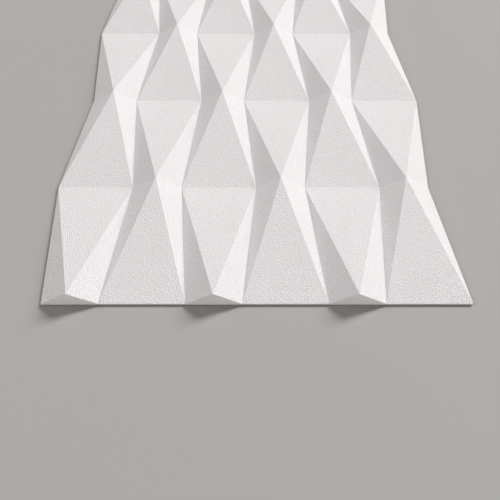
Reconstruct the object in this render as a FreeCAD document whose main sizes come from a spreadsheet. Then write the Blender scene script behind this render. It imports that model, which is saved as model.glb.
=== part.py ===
# Moulded relief panel for walls: one rigid piece with a flat back and a faceted face.
# The face is a field of low pyramids. Each one stands on an hourglass foot, three abreast, and
# every second row is shifted by half a pitch, so that the feet tile the face with no flat left.
# The long sides follow the feet in a shallow zigzag, and nest with the sides of the next panel.
# Both ends cut straight through a row of peaks, which the next panel's end carries on.
# The back's edge is bevelled all round, so that neighbours butt tight at the face.
# Frame: millimetres, Z up from the flat back, Y along the panel, origin in the middle of the back.

import FreeCAD, Part
import math
import os
import Sketcher
from FreeCAD import Vector

# Each driving dimension: its alias, its value in millimetres or copies, and what it is
SIZES = [
    ("column_pitch", 122.5, "from peak to peak across the panel"),
    ("row_pitch", 141.875, "from one row of peaks to the next along the panel"),
    ("waist_width", 48.6, "a foot's width level with its peak"),
    ("relief_height", 14.0, "from the valleys up to the peaks"),
    ("rim_thickness", 2.0, "from the back up to the valleys, as seen on the rim"),
    ("back_bevel", 0.9, "bevel round the back's edge, as much inward as upward"),
    ("columns", 3, "peaks side by side in a row"),
    ("row_pairs", 4, "pairs of rows along the panel"),
]

VALUES = {alias: value for alias, value, note in SIZES}

# What follows from the driving dimensions, as expressions on the sheet's cells
PANEL_WIDTH = "sizes.columns * sizes.column_pitch"
HALF_LENGTH = "sizes.row_pairs * sizes.row_pitch"
PAIR_PITCH = "2 * sizes.row_pitch"
# A foot widens by this much on each side, from its waist to its end
FLARE = "(sizes.column_pitch / 2 - sizes.waist_width)"
END_WIDTH = "(sizes.column_pitch - sizes.waist_width)"
# The first row's left corner; the side swings out from it by the flare, which centres the panel
LEFT_CORNER = f"({FLARE} - {PANEL_WIDTH}) / 2"
FIRST_PEAK = f"{LEFT_CORNER} + sizes.waist_width / 2"
SHIFTED_PEAK = f"{FIRST_PEAK} + sizes.column_pitch / 2"
PEAK_LEVEL = "sizes.rim_thickness + sizes.relief_height"


def make_sheet(doc):
    """Writes the driving dimensions, one to a row, with an alias on each number."""
    sheet = doc.addObject("Spreadsheet::Sheet", "sizes")
    for row, (alias, value, note) in enumerate(SIZES, start=1):
        sheet.set(f"A{row}", alias)
        sheet.set(f"B{row}", str(value))
        sheet.setAlias(f"B{row}", alias)
        sheet.set(f"C{row}", note)
    doc.recompute()


def base_of(body, role):
    """Finds one of the body's own base planes or axes by its role."""
    return next(item for item in body.Origin.OriginFeatures if item.Role == role)


def add_sketch(body, name, x, y, z):
    """Adds a sketch that lies parallel to the back, with its origin at the expressions x, y, z."""
    sketch = body.newObject("Sketcher::SketchObject", name)
    sketch.AttachmentSupport = (base_of(body, "XY_Plane"), [""])
    sketch.MapMode = "FlatFace"
    for axis, expression in (("x", x), ("y", y), ("z", z)):
        sketch.setExpression(f".AttachmentOffset.Base.{axis}", f"({expression}) * 1 mm")
    return sketch


def foot_corners():
    """Half a waist, half an end and the row pitch, for drawing a foot about where its datums hold it."""
    half_waist = VALUES["waist_width"] / 2
    half_end = VALUES["column_pitch"] / 2 - half_waist
    return half_waist, half_end, VALUES["row_pitch"]


def draw_loop(sketch, corners):
    """Draws a closed polygon through its corners."""
    for start, end in zip(corners, corners[1:] + corners[:1]):
        sketch.addGeometry(Part.LineSegment(Vector(*start, 0), Vector(*end, 0)), False)
    for line in range(len(corners)):
        following = (line + 1) % len(corners)
        sketch.addConstraint(Sketcher.Constraint("Coincident", line, 2, following, 1))


def constrain(sketch, kind, *elements):
    sketch.addConstraint(Sketcher.Constraint(kind, *elements))


def add_datum(sketch, name, axis, first, second, expression):
    """Binds the distance between the start points of two lines, along an axis, to an expression."""
    span = sketch.Geometry[second].StartPoint - sketch.Geometry[first].StartPoint
    drawn = span.x if axis == "X" else span.y
    datum = sketch.addConstraint(Sketcher.Constraint(f"Distance{axis}", first, 1, second, 1, drawn))
    sketch.renameConstraint(datum, name)
    sketch.setExpression(f"Constraints.{name}", f"({expression}) * 1 mm")


def add_steps(body, name, axis, pitch, copies):
    """Adds a row of copies along one of the body's axes, the first one included in the count."""
    steps = body.newObject("PartDesign::LinearPattern", name)
    steps.Direction = (base_of(body, axis), [""])
    steps.Mode = "Spacing"
    steps.setExpression("Offset", f"{pitch} * 1 mm")
    steps.setExpression("Occurrences", copies)
    return steps


def add_backing(body):
    """The slab under the relief: a chevron strip as long as a pair of rows, repeated."""
    outline = add_sketch(body, "strip_outline", LEFT_CORNER, f"-{HALF_LENGTH}", "0")
    half_waist, half_end, row = foot_corners()
    swing = half_end - half_waist
    width = VALUES["columns"] * VALUES["column_pitch"]
    draw_loop(
        outline,
        [(0, 0), (width, 0), (width - swing, row), (width, 2 * row), (0, 2 * row), (-swing, row)],
    )
    constrain(outline, "Coincident", 0, 1, -1, 1)
    constrain(outline, "Horizontal", 0)
    constrain(outline, "Horizontal", 3)
    constrain(outline, "Horizontal", 5, 1, 2, 1)
    constrain(outline, "Vertical", 0, 1, 4, 1)
    constrain(outline, "Vertical", 1, 1, 3, 1)
    add_datum(outline, "panel_width", "X", 0, 1, PANEL_WIDTH)
    add_datum(outline, "to_side_corner", "Y", 0, 5, "sizes.row_pitch")
    add_datum(outline, "to_next_strip", "Y", 0, 4, PAIR_PITCH)
    add_datum(outline, "left_swing", "X", 5, 0, FLARE)
    add_datum(outline, "right_swing", "X", 2, 1, FLARE)

    strip = body.newObject("PartDesign::Pad", "strip")
    strip.Profile = outline
    strip.setExpression("Length", "sizes.rim_thickness * 1 mm")
    backing = add_steps(body, "backing", "Y_Axis", PAIR_PITCH, "sizes.row_pairs")
    backing.Originals = [strip]
    body.Tip = backing


def draw_whole_foot(foot):
    """An hourglass two rows long, with its waist on the sketch's origin."""
    waist, end, row = foot_corners()
    draw_loop(foot, [(-waist, 0), (-end, -row), (end, -row), (waist, 0), (end, row), (-end, row)])
    constrain(foot, "PointOnObject", 0, 1, -1)
    constrain(foot, "Symmetric", 0, 1, 3, 1, -2)
    constrain(foot, "Symmetric", 1, 1, 2, 1, -2)
    constrain(foot, "Symmetric", 4, 1, 5, 1, -2)
    constrain(foot, "Symmetric", 5, 1, 1, 1, -1)
    add_datum(foot, "waist", "X", 0, 3, "sizes.waist_width")
    add_datum(foot, "end", "X", 1, 2, END_WIDTH)
    add_datum(foot, "length", "Y", 1, 5, PAIR_PITCH)


def draw_cut_foot(foot):
    """Half an hourglass, cut off at its waist by the panel's end."""
    waist, end, row = foot_corners()
    draw_loop(foot, [(-waist, 0), (waist, 0), (end, row), (-end, row)])
    constrain(foot, "PointOnObject", 0, 1, -1)
    constrain(foot, "Symmetric", 0, 1, 1, 1, -2)
    constrain(foot, "Symmetric", 2, 1, 3, 1, -2)
    add_datum(foot, "waist", "X", 0, 1, "sizes.waist_width")
    add_datum(foot, "end", "X", 3, 2, END_WIDTH)
    add_datum(foot, "length", "Y", 1, 2, "sizes.row_pitch")


def add_pyramid(body, name, draw_foot, x, y):
    """Lofts a foot on the backing straight up to its peak, which stands over the waist's middle."""
    foot = add_sketch(body, f"{name}_foot", x, y, "sizes.rim_thickness")
    draw_foot(foot)
    peak = add_sketch(body, f"{name}_peak", x, y, PEAK_LEVEL)
    peak.addGeometry(Part.Point(Vector(0, 0, 0)), False)
    constrain(peak, "Coincident", 0, 1, -1, 1)
    pyramid = body.newObject("PartDesign::AdditiveLoft", name)
    pyramid.Profile = foot
    pyramid.Sections = [(peak, ["Vertex1"])]
    pyramid.Ruled = True
    return pyramid


def add_field(body, name, pyramid, *second_steps):
    """Repeats a pyramid across the panel, and then by the second steps."""
    field = body.newObject("PartDesign::MultiTransform", name)
    field.Originals = [pyramid]
    across = add_steps(body, f"{name}_across", "X_Axis", "sizes.column_pitch", "sizes.columns")
    field.Transformations = [across, *second_steps]
    body.Tip = field


def add_inner_rows(body, name, x, first_row, copies):
    """Whole pyramids in every second row, the first of them some rows from the panel's end."""
    y = f"{first_row} * sizes.row_pitch - {HALF_LENGTH}"
    pyramid = add_pyramid(body, f"{name}_pyramid", draw_whole_foot, x, y)
    along = add_steps(body, f"{name}_along", "Y_Axis", PAIR_PITCH, copies)
    add_field(body, name, pyramid, along)


def add_end_rows(body):
    """The pyramids that the panel's two ends cut in half."""
    pyramid = add_pyramid(body, "cut_pyramid", draw_cut_foot, FIRST_PEAK, f"-{HALF_LENGTH}")
    far_end = body.newObject("PartDesign::Mirrored", "far_end")
    far_end.MirrorPlane = (base_of(body, "XZ_Plane"), [""])
    add_field(body, "end_rows", pyramid, far_end)


def add_back_bevel(body):
    """Bevels the edge of the back, which is the only face that lies wholly on the floor."""
    relief = body.Tip
    back = next(
        number
        for number, face in enumerate(relief.Shape.Faces, start=1)
        if face.BoundBox.ZMax < VALUES["rim_thickness"] / 2
    )
    bevel = body.newObject("PartDesign::Chamfer", "back_edge_bevel")
    bevel.Base = (relief, [f"Face{back}"])
    bevel.setExpression("Size", "sizes.back_bevel * 1 mm")
    body.Tip = bevel


def make_panel(doc):
    body = doc.addObject("PartDesign::Body", "wall_panel")
    body.Label = "wall_panel"
    add_backing(body)
    add_inner_rows(body, "shifted_rows", SHIFTED_PEAK, 1, "sizes.row_pairs")
    add_inner_rows(body, "straight_rows", FIRST_PEAK, 2, "sizes.row_pairs - 1")
    add_end_rows(body)
    doc.recompute()
    add_back_bevel(body)
    doc.recompute()
    return body


def expected_volume():
    """The slab, and pyramids whose feet cover it: a third of their height on average.

    The bevel takes a triangle all along the back's edge, less what two edges share at each corner.
    """
    face_width = VALUES["columns"] * VALUES["column_pitch"]
    face_length = 2 * VALUES["row_pairs"] * VALUES["row_pitch"]
    flare = VALUES["column_pitch"] / 2 - VALUES["waist_width"]
    side_slant = math.hypot(flare, VALUES["row_pitch"]) / VALUES["row_pitch"]
    edge_length = 2 * face_width + 2 * face_length * side_slant
    bevel = VALUES["back_bevel"]
    bevelled_off = edge_length * bevel**2 / 2 - 4 * side_slant * bevel**3 / 3
    return face_width * face_length * (VALUES["rim_thickness"] + VALUES["relief_height"] / 3) - bevelled_off


def check(doc, body):
    """Stops if a feature failed, or if the panel isn't one closed solid of the volume it should have."""
    for item in doc.Objects:
        if {"Invalid", "Error"} & set(item.State):
            raise RuntimeError(f"{item.Name} failed: {item.State}")
    shape = body.Shape
    if shape.isNull() or not shape.isValid() or len(shape.Solids) != 1:
        raise RuntimeError("wall_panel is not one valid solid")
    # Where the sides' zigzag is shallow, the bevel rounds its corners a little
    if abs(shape.Volume / expected_volume() - 1) > 1e-4:
        raise RuntimeError(f"wall_panel's volume is {shape.Volume}, and not {expected_volume()}")


def main():
    doc = FreeCAD.newDocument("relief_panel")
    make_sheet(doc)
    panel = make_panel(doc)
    check(doc, panel)
    os.makedirs("parts", exist_ok=True)
    panel.Shape.exportStep(f"parts/{panel.Label}.step")
    box = panel.Shape.BoundBox
    print(f"{panel.Label}: {box.XLength:.2f} x {box.YLength:.2f} x {box.ZLength:.2f} mm")
    print(f"{len(panel.Shape.Faces)} faces, {panel.Shape.Volume:.0f} mm3")


main()
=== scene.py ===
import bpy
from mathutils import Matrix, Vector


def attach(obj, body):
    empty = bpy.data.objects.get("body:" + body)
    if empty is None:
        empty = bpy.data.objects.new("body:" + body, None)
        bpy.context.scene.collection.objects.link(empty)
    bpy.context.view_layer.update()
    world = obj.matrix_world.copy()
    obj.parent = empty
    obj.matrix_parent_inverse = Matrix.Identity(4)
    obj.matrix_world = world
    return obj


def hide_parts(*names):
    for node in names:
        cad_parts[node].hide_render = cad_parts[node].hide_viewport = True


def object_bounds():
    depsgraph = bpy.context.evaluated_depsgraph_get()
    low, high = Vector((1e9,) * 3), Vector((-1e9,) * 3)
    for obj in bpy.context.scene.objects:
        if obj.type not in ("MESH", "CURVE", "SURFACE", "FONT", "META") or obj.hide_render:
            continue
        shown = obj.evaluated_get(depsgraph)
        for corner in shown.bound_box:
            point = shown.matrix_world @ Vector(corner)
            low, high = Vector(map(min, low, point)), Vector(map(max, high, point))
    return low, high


bl_info = {
    "name": "Relief wall panel",
    "version": (1, 0, 0),
    "blender": (4, 5, 0),
    "location": "View3D > Sidebar > Relief panel",
    "description": "Builds a moulded relief wall panel with its matt white coat, and the stage it lies on",
    "category": "Add Mesh",
}

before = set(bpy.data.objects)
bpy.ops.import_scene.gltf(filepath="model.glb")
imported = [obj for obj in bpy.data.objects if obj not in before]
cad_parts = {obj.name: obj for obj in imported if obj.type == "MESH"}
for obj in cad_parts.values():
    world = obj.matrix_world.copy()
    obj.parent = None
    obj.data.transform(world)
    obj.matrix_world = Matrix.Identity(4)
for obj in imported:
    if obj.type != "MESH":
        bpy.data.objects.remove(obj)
CAD_LOW, CAD_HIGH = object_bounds()

import math

import bmesh
import bpy
from bpy.props import FloatProperty, FloatVectorProperty, IntProperty, PointerProperty
from mathutils import Quaternion, Vector

NODE = "wall_panel"
PIECE_NAME = "relief_panel"

# How far the finished piece may be from the frame's box, in metres
BOX_TOLERANCE = 0.0005

MM = 0.001
ROW_PAIRS = 4
RIM_THICKNESS = 2 * MM

# How far the tone and the sheen of the coat wander to either side, and how wide their patches are
COAT_TONE_SWING = 0.015
SHEEN_SWING = 0.03
COAT_PATCH = 60 * MM

# The floor lies just under the panel's back, and is a little uneven in tone too
FLOOR_REACH = 20
FLOOR_DROP = 0.05 * MM
FLOOR_TONE_SWING = 0.01
FLOOR_PATCH = 0.5

SENSOR_WIDTH = 36

# The softboxes stand this far off. Each has its azimuth, turned from the panel's far end to its
# right, its elevation, how wide and high it looks from the panel, and its roll, in degrees
SOFTBOX_DISTANCE = 40
KEY_BOX = (46, 32, 32, 16, 45)
FRONT_BOX = (162, 8, 54, 15, 0)
SIDE_BOX = (279, 33, 40, 24, 0)


class PanelSizes(bpy.types.PropertyGroup):
    """The panel's own sizes."""

    column_pitch: FloatProperty(
        name="Column pitch",
        description="From peak to peak across the panel",
        default=122.5 * MM,
        min=10 * MM,
        unit="LENGTH",
    )
    row_pitch: FloatProperty(
        name="Row pitch",
        description="From one row of peaks to the next along the panel",
        default=(CAD_HIGH.y - CAD_LOW.y) / (2 * ROW_PAIRS),
        min=10 * MM,
        unit="LENGTH",
    )
    waist_width: FloatProperty(
        name="Waist width",
        description="A foot's width level with its peak",
        default=48.6 * MM,
        min=1 * MM,
        unit="LENGTH",
    )
    rim_thickness: FloatProperty(
        name="Rim thickness",
        description="From the back up to the valleys",
        default=RIM_THICKNESS,
        min=0.5 * MM,
        unit="LENGTH",
    )
    back_bevel: FloatProperty(
        name="Back bevel",
        description="How far the bevel round the back's edge goes inward and upward",
        default=0.9 * MM,
        min=0,
        unit="LENGTH",
    )
    relief_height: FloatProperty(
        name="Relief height",
        description="From the valleys up to the peaks",
        default=CAD_HIGH.z - CAD_LOW.z - RIM_THICKNESS,
        min=1 * MM,
        unit="LENGTH",
    )
    columns: IntProperty(
        name="Columns",
        description="Peaks side by side in a row",
        default=3,
        min=1,
    )
    row_pairs: IntProperty(
        name="Row pairs",
        description="Pairs of rows along the panel",
        default=ROW_PAIRS,
        min=1,
    )
    arris_rounding: FloatProperty(
        name="Arris rounding",
        description="How far the rounding of a ridge or an edge reaches into the faces beside it",
        default=0.35 * MM,
        min=0,
        unit="LENGTH",
    )
    facet_cuts: IntProperty(
        name="Facet cuts",
        description="How often each facet is halved, to carry the moulding's waves",
        default=4,
        min=1,
        max=5,
    )
    wave_height: FloatProperty(
        name="Wave height",
        description="How far the moulded facets dip under true planes",
        default=0.06 * MM,
        min=0,
        unit="LENGTH",
    )
    wave_length: FloatProperty(
        name="Wave length",
        description="From crest to crest of the moulded facets' waves",
        default=36 * MM,
        min=5 * MM,
        unit="LENGTH",
    )


class PanelFinish(bpy.types.PropertyGroup):
    """The coat on the panel."""

    coat_colour: FloatVectorProperty(
        name="Coat colour",
        description="The white of the matt coat",
        subtype="COLOR",
        default=(0.824, 0.79, 0.793),
        min=0,
        max=1,
    )
    roughness: FloatProperty(
        name="Roughness",
        description="How matt the coat is",
        subtype="FACTOR",
        default=0.68,
        min=0,
        max=1,
    )
    grain_size: FloatProperty(
        name="Grain size",
        description="How wide a pebble of the coat's grain is",
        default=0.7 * MM,
        min=0.2 * MM,
        unit="LENGTH",
    )
    grain_stretch: FloatProperty(
        name="Grain stretch",
        description="How much longer a pebble is along the panel than across it",
        default=2.2,
        min=0.2,
    )
    grain_height: FloatProperty(
        name="Grain height",
        description="From the hollows of the grain up to its pebbles",
        default=0.74 * MM,
        min=0,
        unit="LENGTH",
    )
    grain_swirl: FloatProperty(
        name="Grain swirl",
        description="How far the pebbles are bent into worm-like shapes",
        default=0.3,
        min=0,
    )


class StageLook(bpy.types.PropertyGroup):
    """The floor, the light and the camera."""

    floor_colour: FloatVectorProperty(
        name="Floor colour",
        description="The plain floor under the panel",
        subtype="COLOR",
        default=(0.436, 0.423, 0.401),
        min=0,
        max=1,
    )
    key_strength: FloatProperty(
        name="Key light",
        description="Strength of the key softbox, where 1 shows a white surface that faces it as white",
        default=1.325,
        min=0,
    )
    front_strength: FloatProperty(
        name="Front fill",
        description="Strength of the low softbox on the camera's side",
        default=0.463,
        min=0,
    )
    side_strength: FloatProperty(
        name="Side fill",
        description="Strength of the softbox on the left",
        default=0.485,
        min=0,
    )
    sky_strength: FloatProperty(
        name="Sky",
        description="Strength of the even light from all round",
        default=0.005,
        min=0,
    )
    camera_place: FloatVectorProperty(
        name="Camera place",
        description="Where the camera stands",
        subtype="TRANSLATION",
        unit="LENGTH",
        default=(0.0004, -0.88005, 0.43922),
    )
    camera_tilt: FloatProperty(
        name="Camera tilt",
        description="How far the camera is tilted up from looking straight down",
        subtype="ANGLE",
        default=math.radians(40.444),
    )
    lens: FloatProperty(
        name="Lens",
        description="Focal length in millimetres, on a sensor 36 mm wide",
        default=45.444,
        min=1,
    )


class Field:
    """A node's output that plain arithmetic turns into further nodes."""

    def __init__(self, tree, socket):
        self.tree = tree
        self.socket = socket

    def maths(self, operation, *others):
        made = add_node(self.tree, "ShaderNodeMath", dict(enumerate((self, *others))), operation=operation)
        return Field(self.tree, made.outputs[0])

    def __add__(self, other):
        return self.maths("ADD", other)

    def __sub__(self, other):
        return self.maths("SUBTRACT", other)

    def __mul__(self, other):
        return self.maths("MULTIPLY", other)

    def __truediv__(self, other):
        return self.maths("DIVIDE", other)


def add_node(tree, kind, inputs=None, **settings):
    """Adds a node. An input is found by its name or place, and takes a value, a socket or a field."""
    made = tree.nodes.new(kind)
    for name, value in settings.items():
        setattr(made, name, value)
    for key, value in (inputs or {}).items():
        source = value.socket if isinstance(value, Field) else value
        if isinstance(source, bpy.types.NodeSocket):
            tree.links.new(source, made.inputs[key])
        else:
            made.inputs[key].default_value = source
    return made


def output(tree, kind, inputs=None, result=0, **settings):
    """Adds a node and gives one of its outputs as a field."""
    return Field(tree, add_node(tree, kind, inputs, **settings).outputs[result])


def split_vector(tree, vector):
    made = add_node(tree, "ShaderNodeSeparateXYZ", {0: vector})
    return [Field(tree, socket) for socket in made.outputs]


def join_vector(tree, x, y, z):
    return output(tree, "ShaderNodeCombineXYZ", {0: x, 1: y, 2: z})


def mix_colours(tree, factor, first, second):
    """Mixes by the node's colour sockets, found by place because its other kinds share their names."""
    return output(tree, "ShaderNodeMix", {0: factor, 6: first, 7: second}, 2, data_type="RGBA")


# The panel's relief, in geometry nodes

RELIEF_INPUTS = [
    ("Column Pitch", "NodeSocketFloat", "column_pitch"),
    ("Row Pitch", "NodeSocketFloat", "row_pitch"),
    ("Waist Width", "NodeSocketFloat", "waist_width"),
    ("Rim Thickness", "NodeSocketFloat", "rim_thickness"),
    ("Back Bevel", "NodeSocketFloat", "back_bevel"),
    ("Relief Height", "NodeSocketFloat", "relief_height"),
    ("Columns", "NodeSocketInt", "columns"),
    ("Row Pairs", "NodeSocketInt", "row_pairs"),
    ("Facet Cuts", "NodeSocketInt", "facet_cuts"),
    ("Wave Height", "NodeSocketFloat", "wave_height"),
    ("Wave Length", "NodeSocketFloat", "wave_length"),
]
MATERIAL_INPUT = "Coat"

# A foot's left corner, its peak and its right corner
CORNERS_PER_COLUMN = 3
WAVE_SEED = 4.0

# Counts worked out by nodes are compared and rounded with this much room
COUNT_ROOM = 0.1
WELD_DISTANCE = 0.01 * MM

# An edge that turns more than this parts two facets, and is rounded
LEAST_TURN = math.radians(2)
ARRIS_MARK = "bevel_weight_edge"
ARRIS_STEPS = 3


def relief_corners(tree, sizes):
    """A grid whose corners are moved to the feet's corners and the peaks.

    Along a row, the corners are a foot's left corner, its peak and its right corner, over and over.
    Every second row is the same row turned round, which shifts its peaks by half a pitch.
    """
    corners = sizes["Columns"] * CORNERS_PER_COLUMN
    rows = sizes["Row Pairs"] * 2
    grid = output(
        tree,
        "GeometryNodeMeshGrid",
        {"Size X": corners, "Size Y": rows, "Vertices X": corners + 1, "Vertices Y": rows + 1},
    )
    across, along, _ = split_vector(tree, output(tree, "GeometryNodeInputPosition"))
    row = (along + sizes["Row Pairs"]).maths("ROUND")
    way_round = row.maths("FLOORED_MODULO", 2) * -2 + 1
    corner = (across * way_round + corners / 2).maths("ROUND")
    column = (corner / CORNERS_PER_COLUMN + COUNT_ROOM).maths("FLOOR")
    step = corner - column * CORNERS_PER_COLUMN

    flare = sizes["Column Pitch"] / 2 - sizes["Waist Width"]
    first_corner = (flare - sizes["Columns"] * sizes["Column Pitch"]) / 2
    x = (first_corner + column * sizes["Column Pitch"] + step * sizes["Waist Width"] / 2) * way_round
    y = (row - sizes["Row Pairs"]) * sizes["Row Pitch"]
    peak = step.maths("COMPARE", 1, COUNT_ROOM)
    z = sizes["Rim Thickness"] + sizes["Relief Height"] * peak
    place = join_vector(tree, x, y, z)
    return output(tree, "GeometryNodeSetPosition", {"Geometry": grid, "Position": place})


def drop_edges(tree, mesh, edges, place):
    """Draws faces from the edges to their new place. Gives the mesh and the edges' new selection."""
    extruded = add_node(
        tree,
        "GeometryNodeExtrudeMesh",
        {"Mesh": mesh, "Selection": edges, "Offset Scale": 0.0},
        mode="EDGES",
    )
    moved = output(
        tree,
        "GeometryNodeSetPosition",
        {"Geometry": extruded.outputs["Mesh"], "Selection": extruded.outputs["Top"], "Position": place},
    )
    return moved, extruded.outputs["Top"]


def close_below(tree, relief, sizes):
    """Drops the relief's outline as upright sides and an inward bevel, and fills the back."""
    faces_beside = output(tree, "GeometryNodeInputMeshEdgeNeighbors")
    outline = faces_beside.maths("COMPARE", 1, COUNT_ROOM)
    x, y, _ = split_vector(tree, output(tree, "GeometryNodeInputPosition"))
    bevel = sizes["Back Bevel"]
    sided, edges = drop_edges(tree, relief, outline, join_vector(tree, x, y, bevel))
    # The back is drawn in about its middle, which brings each of its edges in by the bevel
    half_width = sizes["Columns"] * sizes["Column Pitch"] / 2
    half_length = sizes["Row Pairs"] * sizes["Row Pitch"]
    foot = join_vector(tree, x - x * bevel / half_width, y - y * bevel / half_length, 0.0)
    sided, edges = drop_edges(tree, sided, edges, foot)
    foot_line = output(tree, "GeometryNodeMeshToCurve", {"Mesh": sided, "Selection": edges})
    back = output(tree, "GeometryNodeFillCurve", {"Curve": foot_line}, mode="NGONS")
    back = output(tree, "GeometryNodeFlipFaces", {"Mesh": back})
    joined = add_node(tree, "GeometryNodeJoinGeometry")
    tree.links.new(back.socket, joined.inputs[0])
    tree.links.new(sided.socket, joined.inputs[0])
    return output(
        tree,
        "GeometryNodeMergeByDistance",
        {"Geometry": joined.outputs[0], "Distance": WELD_DISTANCE},
    )


def sink_waves(tree, panel, sizes):
    """Lets the moulded facets dip a little under true planes. The back and its edge stay flat."""
    position = output(tree, "GeometryNodeInputPosition")
    _, _, height = split_vector(tree, position)
    waves_per_metre = sizes["Wave Length"].maths("POWER", -1)
    wave = output(
        tree,
        "ShaderNodeTexNoise",
        {"Vector": position, "W": WAVE_SEED, "Scale": waves_per_metre, "Detail": 1.0},
        noise_dimensions="4D",
    )
    return output(
        tree,
        "GeometryNodeSetPosition",
        {
            "Geometry": panel,
            "Selection": height.maths("GREATER_THAN", sizes["Rim Thickness"] / 2),
            "Offset": join_vector(tree, 0.0, 0.0, wave * sizes["Wave Height"] * -1),
        },
    )


def mark_arrises(tree, panel):
    """Marks the edges between facets, while these are still true planes."""
    turn = output(tree, "GeometryNodeInputMeshEdgeAngle")
    return output(
        tree,
        "GeometryNodeStoreNamedAttribute",
        {"Geometry": panel, "Name": ARRIS_MARK, "Value": turn.maths("GREATER_THAN", LEAST_TURN)},
        data_type="FLOAT",
        domain="EDGE",
    )


def build_relief_tree():
    """The node tree that makes the whole panel from its sizes."""
    tree = bpy.data.node_groups.new("Relief panel", "GeometryNodeTree")
    tree.is_modifier = True
    for name, kind, _ in RELIEF_INPUTS:
        tree.interface.new_socket(name=name, in_out="INPUT", socket_type=kind)
    tree.interface.new_socket(name=MATERIAL_INPUT, in_out="INPUT", socket_type="NodeSocketMaterial")
    tree.interface.new_socket(name="Panel", in_out="OUTPUT", socket_type="NodeSocketGeometry")
    given = tree.nodes.new("NodeGroupInput")
    sizes = {name: Field(tree, given.outputs[name]) for name, _, _ in RELIEF_INPUTS}

    corners = relief_corners(tree, sizes)
    facets = output(tree, "GeometryNodeTriangulate", {"Mesh": corners}, quad_method="SHORTEST_DIAGONAL")
    facets = output(tree, "GeometryNodeSubdivideMesh", {"Mesh": facets, "Level": sizes["Facet Cuts"]})
    panel = close_below(tree, facets, sizes)
    panel = mark_arrises(tree, panel)
    panel = sink_waves(tree, panel, sizes)
    panel = output(tree, "GeometryNodeRealizeInstances", {"Geometry": panel})
    panel = output(tree, "GeometryNodeSetShadeSmooth", {0: panel})
    coat = given.outputs[MATERIAL_INPUT]
    panel = output(tree, "GeometryNodeSetMaterial", {"Geometry": panel, "Material": coat})
    add_node(tree, "NodeGroupOutput", {"Panel": panel})
    return tree


def set_inputs(modifier, values):
    """Sets a geometry nodes modifier's inputs, found by the names on its tree."""
    for item in modifier.node_group.interface.items_tree:
        if item.item_type == "SOCKET" and item.in_out == "INPUT":
            modifier[item.identifier] = values[item.name]


def bake_modifiers(thing):
    """Turns what the modifiers make into the object's own plain mesh."""
    depsgraph = bpy.context.evaluated_depsgraph_get()
    plain = bpy.data.meshes.new_from_object(
        thing.evaluated_get(depsgraph), preserve_all_data_layers=True, depsgraph=depsgraph
    )
    plain.name = thing.name
    for place in reversed(range(len(plain.materials))):
        if plain.materials[place] is None:
            plain.materials.pop(index=place)
    thing.modifiers.clear()
    thing.data = plain


def check_panel(panel):
    """Stops if the panel isn't closed, or isn't as large as the frame's."""
    shape = bmesh.new()
    shape.from_mesh(panel.data)
    open_edges = [edge for edge in shape.edges if not edge.is_manifold]
    volume = shape.calc_volume(signed=True)
    shape.free()
    if open_edges or volume <= 0:
        raise RuntimeError(f"the panel has {len(open_edges)} open edges, and a volume of {volume}")
    corners = [Vector(corner) for corner in panel.bound_box]
    for axis in range(3):
        low = min(corner[axis] for corner in corners) - CAD_LOW[axis]
        high = max(corner[axis] for corner in corners) - CAD_HIGH[axis]
        if max(abs(low), abs(high)) > BOX_TOLERANCE:
            raise RuntimeError(f"the panel is off the frame's box by {low} and {high} along axis {axis}")


# The coat's and the floor's materials

def new_material(name):
    material = bpy.data.materials.new(name)
    material.use_nodes = True
    material.node_tree.nodes.clear()
    return material, material.node_tree


def build_coat(finish):
    """A matt white coat with a fine pebbled grain, a little uneven in tone and in sheen."""
    material, tree = new_material("matt white coat")
    place = output(tree, "ShaderNodeTexCoord", result="Object")

    size = finish.grain_size
    pebble_sides = (1 / size, 1 / (size * finish.grain_stretch), 1 / size)
    by_pebbles = output(tree, "ShaderNodeMapping", {"Vector": place, "Scale": pebble_sides})
    pebbles = output(
        tree,
        "ShaderNodeTexNoise",
        {"Vector": by_pebbles, "Scale": 1.0, "Detail": 0.0, "Distortion": finish.grain_swirl},
    )
    bump = add_node(
        tree,
        "ShaderNodeBump",
        {"Height": pebbles, "Distance": finish.grain_height, "Strength": 1.0},
    )

    clouds = output(tree, "ShaderNodeTexNoise", {"Vector": place, "Scale": 1 / COAT_PATCH, "Detail": 3.0})
    tone = mix_shades(tree, clouds, finish.coat_colour, COAT_TONE_SWING)
    sheen = clouds * (2 * SHEEN_SWING) + (finish.roughness - SHEEN_SWING)
    skin = add_node(
        tree,
        "ShaderNodeBsdfPrincipled",
        {"Base Color": tone, "Roughness": sheen, "IOR": 1.45, "Normal": bump.outputs[0]},
    )
    add_node(tree, "ShaderNodeOutputMaterial", {"Surface": skin.outputs[0]})
    return material


def shade(colour, factor):
    """The colour made lighter or darker, as red, green, blue and full alpha."""
    return (*(min(1.0, part * factor) for part in colour), 1.0)


def mix_shades(tree, factor, colour, swing):
    """Wanders between a little darker and a little lighter than the colour."""
    return mix_colours(tree, factor, shade(colour, 1 - swing), shade(colour, 1 + swing))


def build_floor_material(look):
    material, tree = new_material("plain floor")
    place = output(tree, "ShaderNodeTexCoord", result="Object")
    clouds = output(tree, "ShaderNodeTexNoise", {"Vector": place, "Scale": 1 / FLOOR_PATCH, "Detail": 2.0})
    tone = mix_shades(tree, clouds, look.floor_colour, FLOOR_TONE_SWING)
    skin = add_node(
        tree,
        "ShaderNodeBsdfPrincipled",
        {"Base Color": tone, "Roughness": 0.8, "Specular IOR Level": 0.25},
    )
    add_node(tree, "ShaderNodeOutputMaterial", {"Surface": skin.outputs[0]})
    return material


# The stage

def link_object(name, data):
    made = bpy.data.objects.new(name, data)
    bpy.context.scene.collection.objects.link(made)
    return made


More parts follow.
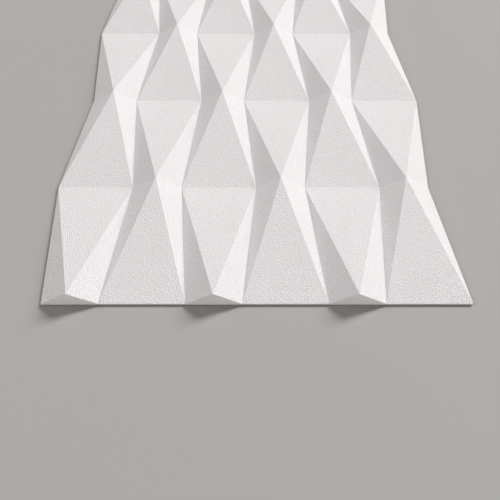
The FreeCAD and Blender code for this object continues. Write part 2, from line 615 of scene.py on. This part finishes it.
def add_floor(look):
    mesh = bpy.data.meshes.new("floor")
    reach = FLOOR_REACH
    corners = [(-reach, -reach, 0), (reach, -reach, 0), (reach, reach, 0), (-reach, reach, 0)]
    mesh.from_pydata([(x, y, -FLOOR_DROP) for x, y, _ in corners], [], [(0, 1, 2, 3)])
    mesh.materials.append(build_floor_material(look))
    link_object("floor", mesh)


def add_softbox(name, strength, box):
    """A big soft light that faces the panel, and that the camera doesn't see."""
    azimuth, elevation, width, height, roll = (math.radians(angle) for angle in box)
    lamp = bpy.data.lights.new(name, "AREA")
    lamp.shape = "RECTANGLE"
    lamp.size = 2 * SOFTBOX_DISTANCE * math.tan(width / 2)
    lamp.size_y = 2 * SOFTBOX_DISTANCE * math.tan(height / 2)
    # At this power, a box of strength 1 lights a white surface that faces it to full white
    lamp.energy = strength * (math.pi * SOFTBOX_DISTANCE) ** 2
    softbox = link_object(name, lamp)
    level = math.cos(elevation)
    towards = Vector((level * math.sin(azimuth), level * math.cos(azimuth), math.sin(elevation)))
    softbox.location = towards * SOFTBOX_DISTANCE
    softbox.rotation_mode = "QUATERNION"
    softbox.rotation_quaternion = towards.to_track_quat("Z", "Y") @ Quaternion((0, 0, 1), roll)
    softbox.visible_camera = False


def fill_world(look):
    """A weak even light. The camera and reflections see a plain backdrop of the floor's tone instead."""
    world = bpy.data.worlds.new("studio")
    bpy.context.scene.world = world
    world.use_nodes = True
    tree = world.node_tree
    tree.nodes.clear()
    rays = add_node(tree, "ShaderNodeLightPath")
    seen = Field(tree, rays.outputs["Is Camera Ray"])
    for kind in ("Is Glossy Ray", "Is Transmission Ray"):
        seen = seen.maths("MAXIMUM", rays.outputs[kind])
    fill = add_node(tree, "ShaderNodeBackground", {"Color": (1, 1, 1, 1), "Strength": look.sky_strength})
    tone = shade(look.floor_colour, 1)
    backdrop = add_node(tree, "ShaderNodeBackground", {"Color": tone, "Strength": 1.0})
    mix = add_node(tree, "ShaderNodeMixShader", {0: seen, 1: fill.outputs[0], 2: backdrop.outputs[0]})
    add_node(tree, "ShaderNodeOutputWorld", {"Surface": mix.outputs[0]})


def add_camera(look):
    lens = bpy.data.cameras.new("camera")
    lens.sensor_width = SENSOR_WIDTH
    lens.lens = look.lens
    lens.clip_start = 0.01
    camera = link_object("camera", lens)
    camera.location = look.camera_place
    camera.rotation_euler = (look.camera_tilt, 0, 0)
    bpy.context.scene.camera = camera


# The operators, their panel and the run

class RELIEF_OT_build_panel(bpy.types.Operator):
    """Builds the moulded panel and its coat, in place of the frame's plain one"""

    bl_idname = "relief.build_panel"
    bl_label = "Build panel"
    bl_options = {"REGISTER", "UNDO"}

    def execute(self, context):
        sizes = context.scene.panel_sizes
        panel = link_object(PIECE_NAME, bpy.data.meshes.new(PIECE_NAME))
        relief = panel.modifiers.new("Relief", "NODES")
        relief.node_group = build_relief_tree()
        values = {name: getattr(sizes, prop) for name, _, prop in RELIEF_INPUTS}
        set_inputs(relief, values | {MATERIAL_INPUT: build_coat(context.scene.panel_finish)})
        rounding = panel.modifiers.new("Arrises", "BEVEL")
        rounding.limit_method = "WEIGHT"
        rounding.width = sizes.arris_rounding
        rounding.segments = ARRIS_STEPS
        rounding.harden_normals = True
        bake_modifiers(panel)
        check_panel(panel)
        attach(panel, "root")
        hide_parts(NODE)
        return {"FINISHED"}


class RELIEF_OT_set_stage(bpy.types.Operator):
    """Lays the floor, lights it and sets the camera"""

    bl_idname = "relief.set_stage"
    bl_label = "Set stage"
    bl_options = {"REGISTER", "UNDO"}

    def execute(self, context):
        look = context.scene.stage_look
        add_floor(look)
        add_softbox("key", look.key_strength, KEY_BOX)
        add_softbox("front_fill", look.front_strength, FRONT_BOX)
        add_softbox("side_fill", look.side_strength, SIDE_BOX)
        fill_world(look)
        add_camera(look)
        context.scene.view_settings.view_transform = "Standard"
        return {"FINISHED"}


class RELIEF_PT_sidebar(bpy.types.Panel):
    bl_idname = "RELIEF_PT_sidebar"
    bl_label = "Relief panel"
    bl_space_type = "VIEW_3D"
    bl_region_type = "UI"
    bl_category = "Relief panel"

    def draw(self, context):
        for group, operator in (
            ("panel_sizes", None),
            ("panel_finish", RELIEF_OT_build_panel),
            ("stage_look", RELIEF_OT_set_stage),
        ):
            settings = getattr(context.scene, group)
            column = self.layout.column()
            for prop in settings.bl_rna.properties:
                if prop.identifier not in ("rna_type", "name"):
                    column.prop(settings, prop.identifier)
            if operator:
                column.operator(operator.bl_idname)


CLASSES = (
    PanelSizes,
    PanelFinish,
    StageLook,
    RELIEF_OT_build_panel,
    RELIEF_OT_set_stage,
    RELIEF_PT_sidebar,
)


def register():
    for each in CLASSES:
        bpy.utils.register_class(each)
    bpy.types.Scene.panel_sizes = PointerProperty(type=PanelSizes)
    bpy.types.Scene.panel_finish = PointerProperty(type=PanelFinish)
    bpy.types.Scene.stage_look = PointerProperty(type=StageLook)


def unregister():
    del bpy.types.Scene.stage_look
    del bpy.types.Scene.panel_finish
    del bpy.types.Scene.panel_sizes
    for each in reversed(CLASSES):
        bpy.utils.unregister_class(each)


def main():
    register()
    bpy.ops.relief.build_panel()
    bpy.ops.relief.set_stage()


if __name__ == "__main__":
    main()
